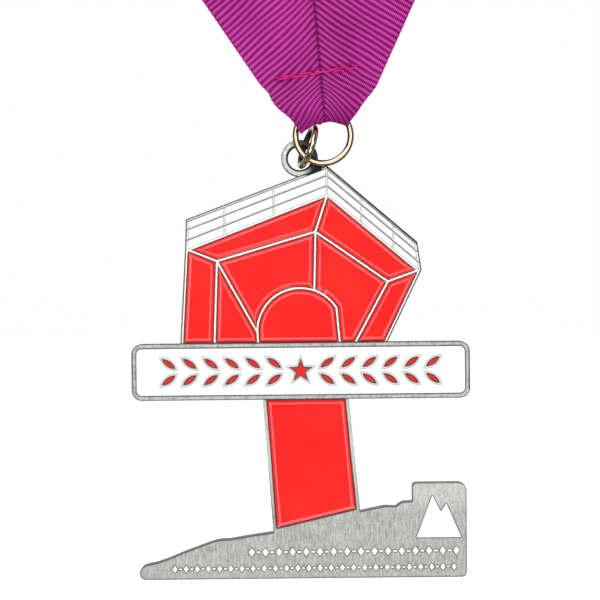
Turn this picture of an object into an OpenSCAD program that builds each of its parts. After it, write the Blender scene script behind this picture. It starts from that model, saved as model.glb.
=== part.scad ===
// Sports finisher medal: a die-cast lookout tower with soft enamel, a cast loop,
// two jump rings and a grosgrain neck ribbon sewn to a V.
// Units are millimetres, +Z is up, the face of the medal looks to -Y.
// The origin is the middle of the ribbon's inner face at the nape of the neck.

/* [Medal plate] */
// Thickness of the cast plate
plate_t = 3.0; // [2:0.1:5]
// Depth of the enamel cells below the raised lines
cell_depth = 0.8; // [0.4:0.1:1.5]
// How far the raised lines stand above the enamel
line_proud = 0.15; // [0:0.05:0.4]
// Width of the raised lines between the red cells
ridge_w = 0.5; // [0.4:0.05:1.5]
// Width of the rail and post lines in the railing
rail_w = 0.36; // [0.3:0.05:1]
// Width of the metal edge around the tower
edge_w = 0.7; // [0.4:0.05:1.5]
// Air left between an enamel fill and its cell
fill_gap = 0.02; // [0:0.01:0.1]

/* [Banner] */
// Length of the banner
banner_l = 81.7; // [60:0.1:100]
// Height of the banner
banner_h = 13.7; // [10:0.1:20]
// How far the banner stands in front of the plate
banner_rise = 0.8; // [0.2:0.1:2]
// Corner radius of the banner
banner_r = 2.5; // [0.5:0.1:5]
// Width of the metal edge around the banner
banner_edge = 1.15; // [0.6:0.05:2]
// Depth of the white field below the banner's edge
field_depth = 0.6; // [0.3:0.05:1]
// Length of one leaf of the garland
leaf_l = 4.2; // [2:0.1:6]
// Width of the metal outline around each leaf
leaf_edge = 0.32; // [0.2:0.02:0.6]
// Leaf pairs on each side of the star
leaf_pairs = 6; // [3:1:8]
// Spacing of the leaf pairs
leaf_pitch = 5.1; // [4:0.1:8]

/* [Loop and rings] */
// Outer radius of the cast loop
loop_ro = 4.45; // [3.5:0.05:6]
// Hole radius of the cast loop
loop_ri = 2.85; // [2:0.05:4]
// Thickness of the cast loop
loop_t = 2.3; // [2:0.1:4]
// Wire diameter of both rings
wire_d = 1.5; // [1:0.05:2.5]
// Centreline radius of the large ring
ring_r = 6.65; // [5:0.05:10]
// Centreline radius of the link ring
link_r = 4.85; // [4:0.05:7]

/* [Ribbon] */
// Width of the ribbon
ribbon_w = 25; // [15:0.5:40]
// Length from the nape to the seam, along the middle
ribbon_half = 400; // [250:5:500]
// Thickness of the ribbon
ribbon_t = 0.8; // [0.4:0.05:1.5]
// Half angle of the V
v_half = 29.3; // [20:0.1:40]
// Lean of the seam to the left
v_lean = 4.5; // [-10:0.1:10]
// Half depth of the pocket that holds the large ring
pocket = 2.15; // [1.5:0.05:4]

/* [Hidden] */
$fn = 96;

// tower corners, x and z from the middle of the banner
railing_l = [-27.4, 36.9];
apex = [6.8, 49.6];
railing_r = [28.5, 30.9];
eave_r = [29.5, 24.1];
eave_l = [-27.7, 29.5];
foot_r = [20.8, 6.2];
foot_l = [-29.1, 6.2];
roof_l = [-26.9, 29.5];
roof_top = [6.8, 42.4];
roof_r = [28.6, 24.0];
node_l = [-20.0, 26.7];
node_c = [3.9, 33.6];
node_r = [21.3, 21.4];
strip_l_foot = [-20.8, 6.2];
strip_r_foot = [13.0, 6.2];
arch_c = [0.0, 9.6];
arch_r = 10.4;
arch_l_foot = [-10.2, 6.2];
arch_shoulder = [8.8, 15.0];
arch_r_foot = [9.6, 6.2];
arch_join = [-10.4, 9.4];
arch_key = [3.5, 19.6];
post_left = [-18.05, -6.15];
post_right = [15.0, 22.7];

// the seam's tip and the place of the whole medal under the origin
tip = [7.7, 44.0];
ribbon_y = -1.35;
ring_y = -0.95;
cone_a = asin((90 - v_half) / 180);
cone_d = ribbon_half / tan(90 - v_half);
cone_tip = (cone_d + ribbon_w / 2) / cos(90 - v_half);
nape_y = cone_d * sin(2 * cone_a) - ribbon_t / 2 * cos(2 * cone_a);
nape_z = cone_tip - cone_d * cos(2 * cone_a) - ribbon_t / 2 * sin(2 * cone_a);
origin = [tip[0] - nape_z * sin(v_lean), ribbon_y + nape_y, tip[1] + nape_z * cos(v_lean)];

loop_c = [0.25, 51.45];
ring_c = [6.0, 56.7];
link_c = [2.3, 54.15];
link_y = 0.1;
link_lean = 19;
link_turn = 12;

metal = [0.72, 0.72, 0.70];
nickel = [0.86, 0.80, 0.68];
red = [0.90, 0.08, 0.07];
white = [0.96, 0.96, 0.96];
magenta = [0.70, 0.16, 0.56];
pink = [0.95, 0.15, 0.50];

// everything is drawn from the middle of the banner, then moved under the origin
module placed() {
    translate(-origin) children();
}

// a flat shape in x and z, from depth y0 at the back forward by t
module slab(y0, t) {
    translate([0, y0, 0]) rotate([90, 0, 0]) linear_extrude(t) children();
}

// a straight raised line with round ends
module line2d(p, q, w) {
    d = q - p;
    translate(p) rotate(atan2(d[1], d[0])) translate([0, -w / 2]) square([norm(d), w]);
    translate(p) circle(d = w, $fn = 24);
    translate(q) circle(d = w, $fn = 24);
}

function mid(p, q, f) = p + (q - p) * f;
function z_on(p, q, x) = p[1] + (q[1] - p[1]) * (x - p[0]) / (q[0] - p[0]);

function arc(c, r, a0, a1, n) = [for (i = [0 : n]) c + r * [cos(a0 + (a1 - a0) * i / n), sin(a0 + (a1 - a0) * i / n)]];

function turned(p, a) = [p[0] * cos(a) - p[1] * sin(a), p[0] * sin(a) + p[1] * cos(a)];

// where two lines through p and q, with directions u and v, cross
function crossing(p, u, q, v) =
    let (k = u[0] * v[1] - u[1] * v[0], w = q - p)
    p + u * (w[0] * v[1] - w[1] * v[0]) / k;

// a polygon drawn in by t, corners kept sharp; its points run anticlockwise
function inset(pts, t) =
    let (n = len(pts))
    [for (i = [0 : n - 1])
        let (a = pts[(i + n - 1) % n], b = pts[i], c = pts[(i + 1) % n])
        let (u = (b - a) / norm(b - a), v = (c - b) / norm(c - b))
        crossing(a + t * [-u[1], u[0]], u, b + t * [-v[1], v[0]], v)];

tower = [foot_l, foot_r, eave_r, railing_r, apex, railing_l, eave_l];

// outline of the arch opening, from its left foot over the top to its right foot
arch_a0 = atan2(arch_shoulder[1] - arch_c[1], arch_shoulder[0] - arch_c[0]);
arch_line = concat([arch_r_foot], arc(arch_c, arch_r, arch_a0, 180, 28), [arch_l_foot]);

module rounded2d(size, r) {
    square([size[0] - 2 * r, size[1]], center = true);
    square([size[0], size[1] - 2 * r], center = true);
    for (x = [-1, 1], z = [-1, 1])
        translate([x * (size[0] / 2 - r), z * (size[1] / 2 - r)]) circle(r, $fn = 48);
}

module banner2d(edge) {
    rounded2d([banner_l - 2 * edge, banner_h - 2 * edge], banner_r - edge);
}

module ridges2d(w) {
    line2d(roof_top, node_c, w);
    line2d(node_c, node_l, w);
    line2d(node_l, roof_l, w);
    line2d(node_l, strip_l_foot, w);
    line2d(node_l, arch_join, w);
    line2d(node_c, arch_key, w);
    line2d(node_c, node_r, w);
    line2d(node_r, roof_r, w);
    line2d(node_r, strip_r_foot, w);
    line2d(roof_l, roof_top, w);
    line2d(roof_top, roof_r, w);
    line2d(arch_shoulder, arch_r_foot, w);
    line2d(arch_c + [-arch_r, 0], arch_l_foot, w);
    intersection() {
        difference() {
            translate(arch_c) circle(arch_r + w / 2);
            translate(arch_c) circle(arch_r - w / 2);
        }
        polygon(concat([arch_c], arc(arch_c, 2 * arch_r, arch_a0, 180, 4)));
    }
}

// the inside of one enamel cell, bounded by the line centres given
module cell2d(region, g) {
    difference() {
        intersection() {
            polygon(region);
            polygon(inset(tower, edge_w + g));
        }
        ridges2d(ridge_w + 2 * g);
        offset_banner2d(g);
    }
}

module offset_banner2d(g) {
    square([banner_l, banner_h + 2 * g], center = true);
}

region_roof_left = [roof_l, node_l, node_c, roof_top];
region_roof_right = [roof_top, node_c, node_r, roof_r];
region_strip_left = [foot_l, strip_l_foot, node_l, roof_l, eave_l];
region_gusset_left = [strip_l_foot, arch_l_foot, arch_c + [-arch_r, 0], node_l];
region_strip_right = [strip_r_foot, foot_r, eave_r, node_r];
region_wall_left = concat([node_l, arch_join], arc(arch_c, arch_r, 180, 70, 16), [node_c]);
region_wall_right = concat([node_c], arc(arch_c, arch_r, 70, arch_a0, 8), [arch_r_foot, strip_r_foot, node_r]);
region_arch = arch_line;

column = [[-6.9, -40.5], [14.2, -36.0], [11.5, -6], [-9.3, -6]];
column_cell = [[-6.2, -38.1], [13.1, -33.6], [10.7, -6], [-8.5, -6]];

module column_cell2d(g) {
    difference() {
        polygon(inset(column_cell, g));
        offset_banner2d(g);
    }
}

// railing panels: three rows between the roof line and the top edge
module rail_lines2d(a0, a1, b0, b1, w) {
    for (k = [1, 2])
        line2d(mid(a0, b0, k / 3), mid(a1, b1, k / 3), w);
}

module post2d(x, a0, a1, b0, b1, w) {
    line2d([x, z_on(a0, a1, x)], [x, z_on(b0, b1, x)], w);
}

module railing2d(left, g) {
    a0 = left ? roof_l : roof_top;
    a1 = left ? roof_top : roof_r;
    b0 = left ? railing_l : apex;
    b1 = left ? apex : railing_r;
    posts = left ? post_left : post_right;
    difference() {
        intersection() {
            polygon(left ? [a0, a1, b1, b0] : [a0, a1, eave_r, b1, b0]);
            polygon(inset(tower, edge_w + g));
        }
        ridges2d(ridge_w + 2 * g);
        line2d(roof_top, apex, rail_w + 2 * g);
        rail_lines2d(a0, a1, b0, b1, rail_w + 2 * g);
        for (x = posts) post2d(x, a0, a1, b0, b1, rail_w + 2 * g);
    }
}

// ground: a slope with a square block at its right end
ground = [
    [-38.0, -50.2], [38.6, -50.2], [39.3, -49.9], [39.7, -49.2], [39.8, -29.0], [39.3, -27.9],
    [38.2, -27.4], [27.6, -27.4], [26.9, -27.7], [26.7, -28.3], [26.7, -31.9], [24.4, -32.0],
    [23.4, -32.5], [22.7, -33.1], [19.8, -33.0], [16.4, -33.7], [14.0, -34.2], [-7.0, -39.1],
    [-12.7, -39.9], [-17.5, -40.7], [-20.0, -40.8], [-21.7, -41.2], [-24.8, -42.3],
    [-28.9, -43.8], [-32.1, -45.1], [-35.2, -46.2], [-37.4, -46.6], [-38.5, -47.0],
    [-39.1, -47.6], [-39.5, -48.3], [-39.4, -49.2], [-38.9, -49.9]];

// a pointed leaf lying along +x
module leaf2d(l, w) {
    r = (l * l / 4 + w * w / 4) / w;
    translate([l / 2, 0]) intersection() {
        translate([0, r - w / 2]) circle(r);
        translate([0, w / 2 - r]) circle(r);
    }
}

function star(r, q, n) = [for (i = [0 : 2 * n - 1]) (i % 2 == 0 ? r : q) * [sin(180 * i / n), cos(180 * i / n)]];

// star and leaves, grown all round by g
module garland2d(g) {
    polygon(star(3.1 + 2.4 * g, 1.25 + 1.3 * g, 5));
    for (side = [0, 1]) mirror([side, 0])
        for (i = [0 : leaf_pairs - 1], up = [0, 1]) mirror([0, up])
            translate([4.7 + leaf_pitch * i, 0.75]) rotate(36)
                translate([-2 * g, 0]) leaf2d(leaf_l + 4 * g, 1.45 + 2 * g);
}

module diamond2d(w, h) {
    polygon([[-w / 2, 0], [0, -h / 2], [w / 2, 0], [0, h / 2]]);
}

// two rows of small diamonds and bars
module marks2d(g) {
    for (i = [0 : 15]) translate([-12.3 + 3.3 * i, -43.8]) {
        diamond2d(1.5 - 2 * g, 2.1 - 2 * g);
        if (i < 15) translate([1.65, 0]) square([0.9 - 2 * g, 0.45 - 2 * g], center = true);
    }
    for (i = [0 : 25]) translate([-30.9 + 2.7 * i, -47.7]) {
        diamond2d(1.2 - 2 * g, 1.7 - 2 * g);
        if (i < 25) translate([1.35, 0]) square([0.7 - 2 * g, 0.4 - 2 * g], center = true);
    }
}

emblem = [[27.6, -40.6], [38.4, -40.6], [34.9, -32.4], [33.5, -34.4], [31.5, -30.4]];

module enamel(name_region) {
    placed() slab(cell_depth - fill_gap, cell_depth - fill_gap - line_proud) cell2d(name_region, fill_gap);
}

module enamel_roof_left() {
    color(red) enamel(region_roof_left);
}

module enamel_roof_right() {
    color(red) enamel(region_roof_right);
}

module enamel_strip_left() {
    color(red) enamel(region_strip_left);
}

module enamel_gusset_left() {
    color(red) enamel(region_gusset_left);
}

module enamel_wall_left() {
    color(red) enamel(region_wall_left);
}

module enamel_wall_right() {
    color(red) enamel(region_wall_right);
}

module enamel_strip_right() {
    color(red) enamel(region_strip_right);
}

module enamel_arch() {
    color(red) enamel(region_arch);
}

module enamel_column() {
    color(red) placed() slab(cell_depth - fill_gap, cell_depth - fill_gap - line_proud) column_cell2d(fill_gap);
}

module railing_left() {
    color(white) placed() slab(cell_depth - fill_gap, cell_depth - fill_gap - line_proud) railing2d(true, fill_gap);
}

module railing_right() {
    color(white) placed() slab(cell_depth - fill_gap, cell_depth - fill_gap - line_proud) railing2d(false, fill_gap);
}

module banner_field() {
    color(white) placed() slab(field_depth - banner_rise - fill_gap, field_depth - fill_gap - 0.2) difference() {
        banner2d(banner_edge + fill_gap);
        garland2d(leaf_edge + fill_gap);
    }
}

module banner_garland() {
    color(red) placed() slab(field_depth - banner_rise - fill_gap, field_depth - fill_gap - 0.12) garland2d(-fill_gap);
}

module ground_marks() {
    color(white) placed() slab(0.3 - fill_gap, 0.3 - fill_gap) marks2d(fill_gap);
}

module ground_emblem() {
    color(white) placed() slab(0.3 - fill_gap, 0.3 - fill_gap) polygon(inset(emblem, fill_gap));
}

// one body: tower, banner, column, ground, cast loop and its web
module medal_body() {
    y = plate_t;
    color(metal) placed() difference() {
        union() {
            slab(y, y) polygon(tower);
            slab(y, y + banner_rise) banner2d(0);
            slab(y, y) polygon(column);
            slab(y, y) polygon(ground);
            translate([loop_c[0], plate_t / 2, loop_c[1]]) rotate([90, 0, 0]) rotate_extrude() loop_section();
            slab(y / 2 + loop_t / 2 - 0.2, loop_t - 0.4) polygon([[2.4, 47.6], [6.6, 49.2], [4.5, 50.6], [3.9, 49.9]]);
        }
        cuts = cell_depth + 1;
        slab(cell_depth, cuts) for (r = [
            region_roof_left, region_roof_right, region_strip_left, region_gusset_left,
            region_wall_left, region_wall_right, region_strip_right, region_arch]) cell2d(r, 0);
        slab(cell_depth, cuts) column_cell2d(0);
        slab(cell_depth, cuts) railing2d(true, 0);
        slab(cell_depth, cuts) railing2d(false, 0);
        slab(field_depth - banner_rise, 1) difference() {
            banner2d(banner_edge);
            garland2d(leaf_edge);
        }
        slab(field_depth - banner_rise, 1) garland2d(0);
        slab(0.3, 1) marks2d(0);
        slab(0.3, 1) polygon(emblem);
    }
}

// section of the cast loop: its hole is dressed more than its outside
module loop_section() {
    a = 0.35;
    b = 0.15;
    h = loop_t / 2;
    polygon([
        [loop_ri, -h + a], [loop_ri + a, -h], [loop_ro - b, -h], [loop_ro, -h + b],
        [loop_ro, h - b], [loop_ro - b, h], [loop_ri + a, h], [loop_ri, h - a]]);
}

module wire_ring(r) {
    rotate_extrude() translate([r, 0]) circle(d = wire_d, $fn = 48);
}

module large_ring() {
    color(nickel) placed() translate([ring_c[0], ring_y, ring_c[1]]) rotate([90, 0, 0]) wire_ring(ring_r);
}

module link_ring() {
    color(nickel) placed() translate([link_c[0], link_y, link_c[1]])
        rotate([0, link_lean, 0]) rotate([0, 0, link_turn]) rotate([0, 90, 0]) wire_ring(link_r);
}

// lower edge of the front layer where the ribbon is gathered into the ring
hem = [
    [-11, 19.6], [-8.4, 17.1], [-7.3, 15.1], [-6.6, 13.7], [-5, 14.6], [-2.2, 15.4], [0, 16.2],
    [1.5, 16.2], [3.6, 15.6], [5, 14.8], [6, 14.9], [7, 15.8], [8.7, 18.3], [10.6, 19.4]];

function smooth(f) = f <= 0 ? 0 : f >= 1 ? 1 : f * f * (3 - 2 * f);

// the ribbon lies on a cone, so it bends without stretching; a is the turn from the nape
// and r the distance from the cone's point, out is measured off the surface
function cone_point(a, r, out) =
    let (x = r * sin(cone_a) * sin(a) + out * cos(cone_a) * sin(a))
    let (y = r * sin(cone_a) * cos(a) + out * cos(cone_a) * cos(a))
    let (z = -r * cos(cone_a) + out * sin(cone_a))
    [x, y * cos(cone_a) - z * sin(cone_a), y * sin(cone_a) + z * cos(cone_a) + cone_tip];

function inner_edge(a) = (cone_d - ribbon_w / 2) / cos(a * sin(cone_a));
function natural_edge(a) = (cone_d + ribbon_w / 2) / cos(a * sin(cone_a));

function gathered_edge(a) =
    let (x = 0.965 * cone_tip * sin(cone_a) * sin(a))
    let (zq = pow(sin(cone_a), 2) * cos(a) - pow(cos(cone_a), 2))
    abs(a) > 170 && x > -11 && x < 10.6 ? (lookup(x, hem) - cone_tip) / zq : 10000;

function outer_edge(a) = min(natural_edge(a), gathered_edge(a));

// turns from the nape: close together at the V, where the hem is shaped
turns = concat(
    [for (i = [-24 : 24]) 5.8 * i * 1.18],
    [for (i = [0 : 3]) 166.5 + 1.1 * i],
    [for (i = [0 : 44]) 171 + 0.41 * i],
    [for (i = [0 : 3]) 190.2 + 1.1 * i]);

function front_out(z) = pocket * smooth((26.5 - z) / 6);

rows = 10;

function row_r(a, j) =
    let (k = j / rows)
    inner_edge(a) + (outer_edge(a) - inner_edge(a)) * k;

function row_point(a, j, side) =
    let (p = cone_point(a, row_r(a, j), side * ribbon_t / 2))
    let (front = abs(abs(a) - 180) < 14 ? 1 : 0)
    p - [0, front * front_out(p[2]), 0];

function signed(a) = a > 180 ? a - 360 : a;

// a closed band of n sections, each a ring of m points
module band(points, n, m) {
    polyhedron(points, [for (i = [0 : n - 1], j = [0 : m - 1]) [
        i * m + j, i * m + (j + 1) % m, ((i + 1) % n) * m + (j + 1) % m, ((i + 1) % n) * m + j]]);
}

module front_layer() {
    points = [for (t = turns) each concat(
        [for (j = [0 : rows]) row_point(signed(t), j, 1)],
        [for (j = [rows : -1 : 0]) row_point(signed(t), j, -1)])];
    band(points, len(turns), 2 * rows + 2);
}

// the fold under the large ring and the tail sewn up behind: y, z, half width
fold = [
    [-3.4, 17.9, 3.9], [-3.3, 17.1, 3.9], [-2.6, 16.7, 3.9], [0.4, 16.6, 3.9], [1.8, 16.7, 3.9],
    [2.6, 17.2, 4.3], [2.95, 18.2, 5.2], [2.95, 20.4, 6.6], [2.1, 22.6, 7.6], [1.1, 25.2, 8.6],
    [0.8, 26.9, 9.2], [0.8, 32, 10.2]];

function heading(i) =
    let (p = fold[max(i - 1, 0)], q = fold[min(i + 1, len(fold) - 1)], d = [q[0] - p[0], q[1] - p[1]])
    d / norm(d);

module fold_and_tail() {
    n = len(fold);
    w = 8;
    pts = [for (i = [0 : n - 1], s = [1, -1], k = [0 : w])
        let (h = heading(i), x = -0.6 + fold[i][2] * (2 * k / w - 1) * s)
        [x, fold[i][0] - s * h[1] * ribbon_t / 2, fold[i][1] + s * h[0] * ribbon_t / 2]];
    m = 2 * (w + 1);
    sides = [for (i = [0 : n - 2], j = [0 : m - 1]) [
        i * m + j, (i + 1) * m + j, (i + 1) * m + (j + 1) % m, i * m + (j + 1) % m]];
    start = [for (k = [0 : w - 1]) [k, k + 1, m - 2 - k, m - 1 - k]];
    end = [for (k = [0 : w - 1]) [for (q = [m - 1 - k, m - 2 - k, k + 1, k]) (n - 1) * m + q]];
    polyhedron(pts, concat(sides, start, end));
}

module at_tip() {
    placed() translate([tip[0], ribbon_y, tip[1]]) rotate([0, -v_lean, 0]) children();
}

module neck_ribbon() {
    color(magenta) at_tip() {
        front_layer();
        fold_and_tail();
    }
}

// two crossing strands over the front layer
module bar_stitch() {
    color(pink) at_tip() for (s = [-1, 1])
        translate([-0.8, -0.68, 28]) rotate([0, 86 + 1.5 * s, 0]) cylinder(d = 0.5, h = 19.6, center = true, $fn = 12);
}

neck_ribbon();
bar_stitch();
large_ring();
link_ring();
medal_body();
enamel_roof_left();
enamel_roof_right();
enamel_strip_left();
enamel_gusset_left();
enamel_wall_left();
enamel_wall_right();
enamel_strip_right();
enamel_arch();
enamel_column();
railing_left();
railing_right();
banner_field();
banner_garland();
ground_marks();
ground_emblem();
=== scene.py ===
"""Looks of the sports finisher medal: cast tower with soft enamel, jump rings and a sewn grosgrain ribbon.

Lengths in the shape code are millimetres measured from the middle of the banner unless a name says otherwise;
MM turns them into the row frame's metres.
"""
import bmesh
import bpy
import math
import numpy as np
from mathutils import Matrix, Vector
from mathutils.geometry import delaunay_2d_cdt


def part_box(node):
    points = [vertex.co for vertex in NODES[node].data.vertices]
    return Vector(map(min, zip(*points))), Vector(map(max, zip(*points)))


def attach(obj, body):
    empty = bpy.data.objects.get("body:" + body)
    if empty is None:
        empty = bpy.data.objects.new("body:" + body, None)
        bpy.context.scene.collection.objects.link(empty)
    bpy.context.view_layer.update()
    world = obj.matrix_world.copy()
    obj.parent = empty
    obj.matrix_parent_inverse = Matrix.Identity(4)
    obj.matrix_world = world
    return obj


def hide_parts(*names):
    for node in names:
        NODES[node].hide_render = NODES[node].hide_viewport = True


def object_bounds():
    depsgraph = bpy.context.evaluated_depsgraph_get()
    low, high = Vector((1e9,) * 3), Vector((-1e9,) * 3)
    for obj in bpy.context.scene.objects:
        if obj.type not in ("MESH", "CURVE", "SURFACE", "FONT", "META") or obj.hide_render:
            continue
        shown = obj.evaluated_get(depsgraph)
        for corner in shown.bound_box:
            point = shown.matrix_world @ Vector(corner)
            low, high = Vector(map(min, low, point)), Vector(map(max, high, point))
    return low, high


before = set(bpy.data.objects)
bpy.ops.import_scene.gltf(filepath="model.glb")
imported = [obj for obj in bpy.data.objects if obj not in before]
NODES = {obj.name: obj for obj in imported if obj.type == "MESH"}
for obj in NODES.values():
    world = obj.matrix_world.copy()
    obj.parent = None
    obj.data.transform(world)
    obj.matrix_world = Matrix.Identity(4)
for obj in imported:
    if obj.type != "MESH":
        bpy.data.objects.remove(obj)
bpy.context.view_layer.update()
MM = 0.001
PLATE_T = 3.0  # thickness of the casting

low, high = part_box("banner_field")
HOME = Vector(((low[0] + high[0]) / 2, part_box("medal_body")[1][1] - PLATE_T * MM, (low[2] + high[2]) / 2))


def at(x, y, z):
    """A point given in millimetres from the banner's middle, in the row frame."""
    return HOME + Vector((x, y, z)) * MM


# ---------------------------------------------------------------- camera
PHOTO_SPAN = 145.1  # mm across the frame at the face of the medal
PHOTO_MID = (0.0, 17.12)  # mm from the banner's middle
ROLL = math.radians(0.6)
LENS = 85.0
SENSOR = 36.0


def make_camera():
    """Looks along +Y at the photograph's turn, from as far as the lens needs to take in its span."""
    data = bpy.data.cameras.new("camera")
    data.lens = LENS
    data.sensor_width = SENSOR
    data.clip_start = 0.01
    data.clip_end = 20
    cam = bpy.data.objects.new("camera", data)
    bpy.context.scene.collection.objects.link(cam)
    forward = Vector((0, 1, 0))
    up = Vector((math.sin(ROLL), 0, math.cos(ROLL)))
    right = forward.cross(up)
    spin = Matrix((right, up, -forward)).transposed().to_4x4()
    place = at(PHOTO_MID[0], 0, PHOTO_MID[1]) - forward * (PHOTO_SPAN * LENS / SENSOR * MM)
    cam.matrix_world = Matrix.Translation(place) @ spin
    bpy.context.scene.camera = cam


make_camera()
bpy.context.scene.view_settings.view_transform = "Standard"


# ---------------------------------------------------------------- materials
class Nodes:
    """A small helper that builds a node tree in few lines."""

    def __init__(self, name):
        self.mat = bpy.data.materials.new(name)
        self.mat.use_nodes = True
        self.tree = self.mat.node_tree
        self.shader = self.tree.nodes["Principled BSDF"]

    def add(self, kind, **values):
        node = self.tree.nodes.new("ShaderNode" + kind)
        for key, value in values.items():
            if hasattr(node, key) and not key[0].isupper():
                setattr(node, key, value)
        for key, value in values.items():
            if key[0].isupper():
                self.put(node, key.replace("_", " "), value)
        return node

    def put(self, node, key, value):
        socket = node.inputs[int(key[1:])] if key[0] == "I" and key[1:].isdigit() else node.inputs[key]
        if isinstance(value, bpy.types.NodeSocket):
            self.tree.links.new(value, socket)
        else:
            socket.default_value = value

    def set(self, **values):
        for key, value in values.items():
            self.put(self.shader, key.replace("_", " "), value)

    def math(self, op, a, b=0.0, c=0.0, clamp=False):
        node = self.add("Math", operation=op, use_clamp=clamp)
        for i, v in enumerate((a, b, c)):
            self.put(node, "I%d" % i, v)
        return node.outputs[0]

    def ramp(self, value, stops):
        node = self.add("ValToRGB", Fac=value)
        fill_ramp(node, stops)
        return node.outputs[0]

    def mix(self, factor, a, b, mode="MIX"):
        node = self.add("Mix", data_type="RGBA", blend_type=mode)
        for i, v in ((0, factor), (6, a), (7, b)):
            if isinstance(v, bpy.types.NodeSocket):
                self.tree.links.new(v, node.inputs[i])
            else:
                node.inputs[i].default_value = colour(v) if i else v
        return node.outputs[2]

    def coords(self, scale=(1, 1, 1)):
        source = self.add("TexCoord").outputs["Object"]
        return self.add("Mapping", Vector=source, Scale=scale).outputs[0]

    def noise(self, vector, scale, detail=3.0, rough=0.5):
        return self.add("TexNoise", Vector=vector, Scale=scale, Detail=detail, Roughness=rough).outputs[0]

    def times(self, a, b, clamp=False):
        return self.math("MULTIPLY", a, b, clamp=clamp)

    def most(self, a, b):
        return self.math("MAXIMUM", a, b)

    def inverse(self, a):
        return self.math("SUBTRACT", 1.0, a)

    def part(self, vector, axis):
        return self.add("SeparateXYZ", Vector=vector).outputs[axis]

    def vector(self, op, a, b=(0, 0, 0)):
        return self.add("VectorMath", operation=op, I0=a, I1=b)

    def attribute(self, name):
        return self.add("Attribute", attribute_name=name).outputs["Fac"]

    def bump(self, height, distance, strength=1.0, normal=None):
        node = self.add("Bump", Height=height, Distance=distance, Strength=strength)
        if normal is not None:
            self.put(node, "Normal", normal)
        return node.outputs[0]


def fill_ramp(node, stops):
    """Gives a colour ramp node these stops, each a place and a shade."""
    band = node.color_ramp.elements
    while len(band) > 1:
        band.remove(band[-1])
    band[0].position, band[0].color = stops[0][0], colour(stops[0][1])
    for place, shade in stops[1:]:
        band.new(place).color = colour(shade)


def colour(shade):
    """A grey number or a red, green, blue triple as an opaque colour."""
    return (shade, shade, shade, 1) if isinstance(shade, (int, float)) else tuple(shade[:3]) + (1,)


# corners of the tower's outline, x and z in millimetres from the middle of the banner
ROOF_L, ROOF_TOP, ROOF_R = (-26.9, 29.5), (6.8, 42.4), (28.6, 24.0)
FOOT_L, EAVE_L, RAIL_L, APEX = (-29.1, 6.2), (-27.7, 29.5), (-27.4, 36.9), (6.8, 49.6)
RAIL_R, EAVE_R, FOOT_R = (28.5, 30.9), (29.5, 24.1), (20.8, 6.2)
LEFT_SLOPE, RIGHT_SLOPE = 12.9 / 33.7, 18.4 / 21.8  # of the two roof lines
LOOP_C, LOOP_RI, LOOP_RO = (0.25, 1.5, 51.45), 2.85, 4.45
BANNER_TOP = 6.95  # height above which a point of the face belongs to the tower


class Face:
    """Masks, 0 to 1, for regions of the casting's face; lengths are millimetres from the banner's middle."""

    def __init__(self, n, place):
        self.n = n
        self.x, self.z = n.part(place, 0), n.part(place, 2)
        self.home_x, self.home_z = HOME[0] / MM, HOME[2] / MM

    def beyond(self, value, limit, run=0.4):
        """0 below the limit, rising to 1 within run millimetres past it."""
        return self.n.times(self.n.math("SUBTRACT", value, limit * MM), 1 / (run * MM), clamp=True)

    def over(self, height, run=0.4):
        return self.beyond(self.z, self.home_z + height, run)

    def outside(self, a, b):
        """How far past the line from a to b a point of the face is, in metres; negative on its left."""
        n = self.n
        run = Vector((b[0] - a[0], b[1] - a[1])).normalized()
        offset = -(run.y * (self.home_x + a[0]) - run.x * (self.home_z + a[1])) * MM
        return n.math("ADD", n.times(self.x, run.y), n.math("MULTIPLY_ADD", self.z, -run.x, offset))

    def stripe(self, a, b, start, end):
        """A stripe of painted shade beside the line from a to b."""
        gap = self.outside(a, b)
        return self.n.times(self.beyond(gap, start, 0.06), self.n.inverse(self.beyond(gap, end, 0.06)))

    def roof(self):
        """Above either roof line, where the railing is."""
        n = self.n
        left_line = n.math("SUBTRACT", self.z, n.times(self.x, LEFT_SLOPE))
        right_line = n.math("ADD", self.z, n.times(self.x, RIGHT_SLOPE))
        middle = ROOF_TOP[0] + self.home_x
        left_at = self.home_z + ROOF_TOP[1] - middle * LEFT_SLOPE
        right_at = self.home_z + ROOF_TOP[1] + middle * RIGHT_SLOPE
        return n.most(self.beyond(left_line, left_at - 0.1), self.beyond(right_line, right_at - 0.1))

    def rail_shadows(self):
        """The shadow along the underside of each rail and inside the top edge."""
        n = self.n
        on_right = self.beyond(self.x, self.home_x + ROOF_TOP[0], 0.1)
        halves = (
            (n.inverse(on_right), ROOF_L, RAIL_L, ROOF_TOP, APEX),
            (on_right, ROOF_TOP, APEX, ROOF_R, RAIL_R))
        total = None
        for half, near, near_top, far, far_top in halves:
            low, mid = (
                self.stripe(between(near, near_top, third), between(far, far_top, third), -0.04, 0.16)
                for third in (1 / 3, 2 / 3))
            lines = n.most(n.most(low, mid), n.times(self.stripe(near_top, far_top, 0.50, 0.70), 0.9))
            lines = n.times(lines, half)
            total = lines if total is None else n.most(total, lines)
        return total


def between(a, b, f):
    return (a[0] + (b[0] - a[0]) * f, a[1] + (b[1] - a[1]) * f)


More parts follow.
